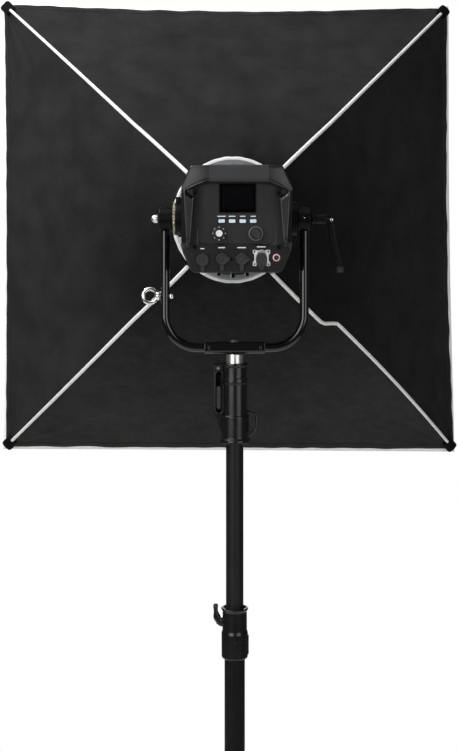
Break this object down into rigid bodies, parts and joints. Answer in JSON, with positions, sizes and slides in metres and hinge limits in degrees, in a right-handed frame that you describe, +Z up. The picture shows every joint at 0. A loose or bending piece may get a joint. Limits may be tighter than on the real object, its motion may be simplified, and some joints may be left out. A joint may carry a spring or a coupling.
{
  "type": "studio softbox",
  "caption": "Square fabric softbox on a yoke-mounted LED lamp head, carried by a telescopic stand with folding tripod legs.",
  "frame": {"origin": "on the floor, on the stand column's axis, at the middle of the object's footprint box", "axes": "+Z up along the column, +Y towards the front of the softbox, +X towards the tilt lever"},
  "size_m": [1.1886, 1.368, 2.4545],
  "materials": {
    "stand_paint": "satin black powder coat",
    "casting": "satin black casting",
    "gloss_black": "gloss black paint",
    "chrome": "bright chrome",
    "bronze": "passivated toothed disc",
    "casing": "fine texture",
    "panel": "fine texture",
    "screen": "gloss",
    "button": "translucent",
    "knob": "soft touch",
    "rubber": "matte",
    "aluminium": "machined",
    "led": "phosphor",
    "shell_fabric": "coated woven nylon",
    "diffuser_fabric": "translucent white cloth",
    "rod": "white sleeve over a rod"
  },
  "bodies": {
    "stand": {"base_column": "stand_paint", "leg_hub": "casting", "base_clamp": "casting"},
    "leg_1": {"leg_1": "stand_paint", "foot_1": "rubber"},
    "leg_2": {"leg_2": "stand_paint", "foot_2": "rubber"},
    "leg_3": {"leg_3": "stand_paint", "foot_3": "rubber"},
    "spreader": {"spreader_collar": "casting"},
    "brace_1": {"brace_1": "stand_paint"},
    "brace_2": {"brace_2": "stand_paint"},
    "brace_3": {"brace_3": "stand_paint"},
    "base_lever": {"base_clamp_lever": "casting"},
    "mid_mast": {"mid_tube": "stand_paint", "riser_clamp": "casting"},
    "riser_lever": {"riser_clamp_lever": "casting"},
    "top_mast": {"riser_tube": "stand_paint", "receiver": "casting"},
    "latch": {"receiver_latch": "stand_paint"},
    "yoke": {"yoke_tube": "gloss_black", "yoke_bracket": "casting", "stand_pin": "chrome", "yoke_hub_left": "casting", "yoke_hub_right": "casting", "safety_eye_bolt": "chrome"},
    "tilt_lever": {"tilt_lever": "gloss_black"},
    "lamp": {"lamp_casing": "casing", "rear_cover": "casing", "control_panel": "panel", "display_screen": "screen", "power_inlet": "aluminium", "fuse_cap": "knob", "lens_mount": "casing", "heat_sink": "aluminium", "led_module": "led", "tilt_disc_left": "bronze", "tilt_disc_right": "casting", "pivot_bolt": "chrome", "speed_ring": "aluminium", "panel_top": "shell_fabric", "panel_left": "shell_fabric", "panel_bottom": "shell_fabric", "panel_right": "shell_fabric", "rod_top_right": "rod", "rod_top_left": "rod", "rod_bottom_left": "rod", "rod_bottom_right": "rod", "inner_baffle": "diffuser_fabric", "front_diffuser": "diffuser_fabric"},
    "fan": {"cooling_fan": "knob"},
    "dimmer": {"dimmer_knob": "knob"},
    "selector": {"select_knob": "knob"},
    "usb_lid": {"usb_cap": "rubber"},
    "control_lid_in": {"control_cap_in": "rubber"},
    "control_lid_out": {"control_cap_out": "rubber"},
    "button_1": {"menu_button_1": "button"},
    "button_2": {"menu_button_2": "button"},
    "button_3": {"menu_button_3": "button"},
    "button_4": {"menu_button_4": "button"}
  },
  "joints": [
    {"name": "leg_1_fold", "type": "hinge", "parent": "stand", "child": "leg_1", "pos_m": [0, -0.052, 0.88], "axis": [1, 0, 0], "range_deg": [0, 34]},
    {"name": "leg_2_fold", "type": "hinge", "parent": "stand", "child": "leg_2", "pos_m": [0.04503, 0.026, 0.88], "axis": [-0.5, 0.866, 0], "range_deg": [0, 34]},
    {"name": "leg_3_fold", "type": "hinge", "parent": "stand", "child": "leg_3", "pos_m": [-0.04503, 0.026, 0.88], "axis": [-0.5, -0.866, 0], "range_deg": [0, 34]},
    {"name": "spreader_slide", "type": "slide", "parent": "stand", "child": "spreader", "axis": [0, 0, 1], "range_m": [-0.1545, 0]},
    {"name": "brace_1_fold", "type": "hinge", "parent": "spreader", "child": "brace_1", "pos_m": [0, -0.046, 0.32355], "axis": [1, 0, 0], "range_deg": [-41, 0]},
    {"name": "brace_2_fold", "type": "hinge", "parent": "spreader", "child": "brace_2", "pos_m": [0.03984, 0.023, 0.32355], "axis": [-0.5, 0.866, 0], "range_deg": [-41, 0]},
    {"name": "brace_3_fold", "type": "hinge", "parent": "spreader", "child": "brace_3", "pos_m": [-0.03984, 0.023, 0.32355], "axis": [-0.5, -0.866, 0], "range_deg": [-41, 0]},
    {"name": "base_lever_turn", "type": "hinge", "parent": "stand", "child": "base_lever", "pos_m": [-0.028, 0, 1.001], "axis": [1, 0, 0], "continuous": true},
    {"name": "mid_mast_slide", "type": "slide", "parent": "stand", "child": "mid_mast", "axis": [0, 0, 1], "range_m": [-0.12, 0.3]},
    {"name": "riser_lever_turn", "type": "hinge", "parent": "mid_mast", "child": "riser_lever", "pos_m": [-0.0255, 0, 1.257], "axis": [1, 0, 0], "continuous": true},
    {"name": "top_mast_slide", "type": "slide", "parent": "mid_mast", "child": "top_mast", "axis": [0, 0, 1], "range_m": [-0.25, 0.3]},
    {"name": "latch_slide", "type": "slide", "parent": "top_mast", "child": "latch", "axis": [0, 0, 1], "range_m": [0, 0.022]},
    {"name": "yoke_pan", "type": "hinge", "parent": "top_mast", "child": "yoke", "pos_m": [0, 0, 1.7], "axis": [0, 0, 1], "continuous": true},
    {"name": "lamp_tilt", "type": "hinge", "parent": "yoke", "child": "lamp", "pos_m": [0, 0, 1.95], "axis": [1, 0, 0], "range_deg": [-40, 90]},
    {"name": "tilt_lever_turn", "type": "hinge", "parent": "yoke", "child": "tilt_lever", "pos_m": [0.15, 0, 1.95], "axis": [1, 0, 0], "range_deg": [0, 150]},
    {"name": "fan_spin", "type": "hinge", "parent": "lamp", "child": "fan", "pos_m": [0, -0.083, 1.95], "axis": [0, 1, 0], "continuous": true},
    {"name": "dimmer_turn", "type": "hinge", "parent": "lamp", "child": "dimmer", "pos_m": [-0.028, -0.168, 1.9227], "axis": [0, -1, 0], "continuous": true},
    {"name": "select_turn", "type": "hinge", "parent": "lamp", "child": "selector", "pos_m": [0.0303, -0.168, 1.9227], "axis": [0, -1, 0], "continuous": true},
    {"name": "usb_lid_open", "type": "hinge", "parent": "lamp", "child": "usb_lid", "pos_m": [-0.0542, -0.1663, 1.8618], "axis": [1, 0, 0], "range_deg": [0, 100]},
    {"name": "control_lid_in_open", "type": "hinge", "parent": "lamp", "child": "control_lid_in", "pos_m": [-0.0235, -0.1663, 1.863], "axis": [1, 0, 0], "range_deg": [0, 100]},
    {"name": "control_lid_out_open", "type": "hinge", "parent": "lamp", "child": "control_lid_out", "pos_m": [0.008, -0.1663, 1.863], "axis": [1, 0, 0], "range_deg": [0, 100]},
    {"name": "button_1_press", "type": "slide", "parent": "lamp", "child": "button_1", "axis": [0, 1, 0], "range_m": [0, 0.001], "stiffness_N_per_m": 900, "springref_m": -0.0004},
    {"name": "button_2_press", "type": "slide", "parent": "lamp", "child": "button_2", "axis": [0, 1, 0], "range_m": [0, 0.001], "stiffness_N_per_m": 900, "springref_m": -0.0004},
    {"name": "button_3_press", "type": "slide", "parent": "lamp", "child": "button_3", "axis": [0, 1, 0], "range_m": [0, 0.001], "stiffness_N_per_m": 900, "springref_m": -0.0004},
    {"name": "button_4_press", "type": "slide", "parent": "lamp", "child": "button_4", "axis": [0, 1, 0], "range_m": [0, 0.001], "stiffness_N_per_m": 900, "springref_m": -0.0004}
  ],
  "couplings": [
    {"joint": "leg_2_fold", "follows": "leg_1_fold", "ratio": 1},
    {"joint": "leg_3_fold", "follows": "leg_1_fold", "ratio": 1},
    {"joint": "spreader_slide", "follows": "leg_1_fold", "m_per_rad": -0.25843},
    {"joint": "brace_1_fold", "follows": "leg_1_fold", "ratio": -1.1913},
    {"joint": "brace_2_fold", "follows": "leg_1_fold", "ratio": -1.1913},
    {"joint": "brace_3_fold", "follows": "leg_1_fold", "ratio": -1.1913}
  ]
}
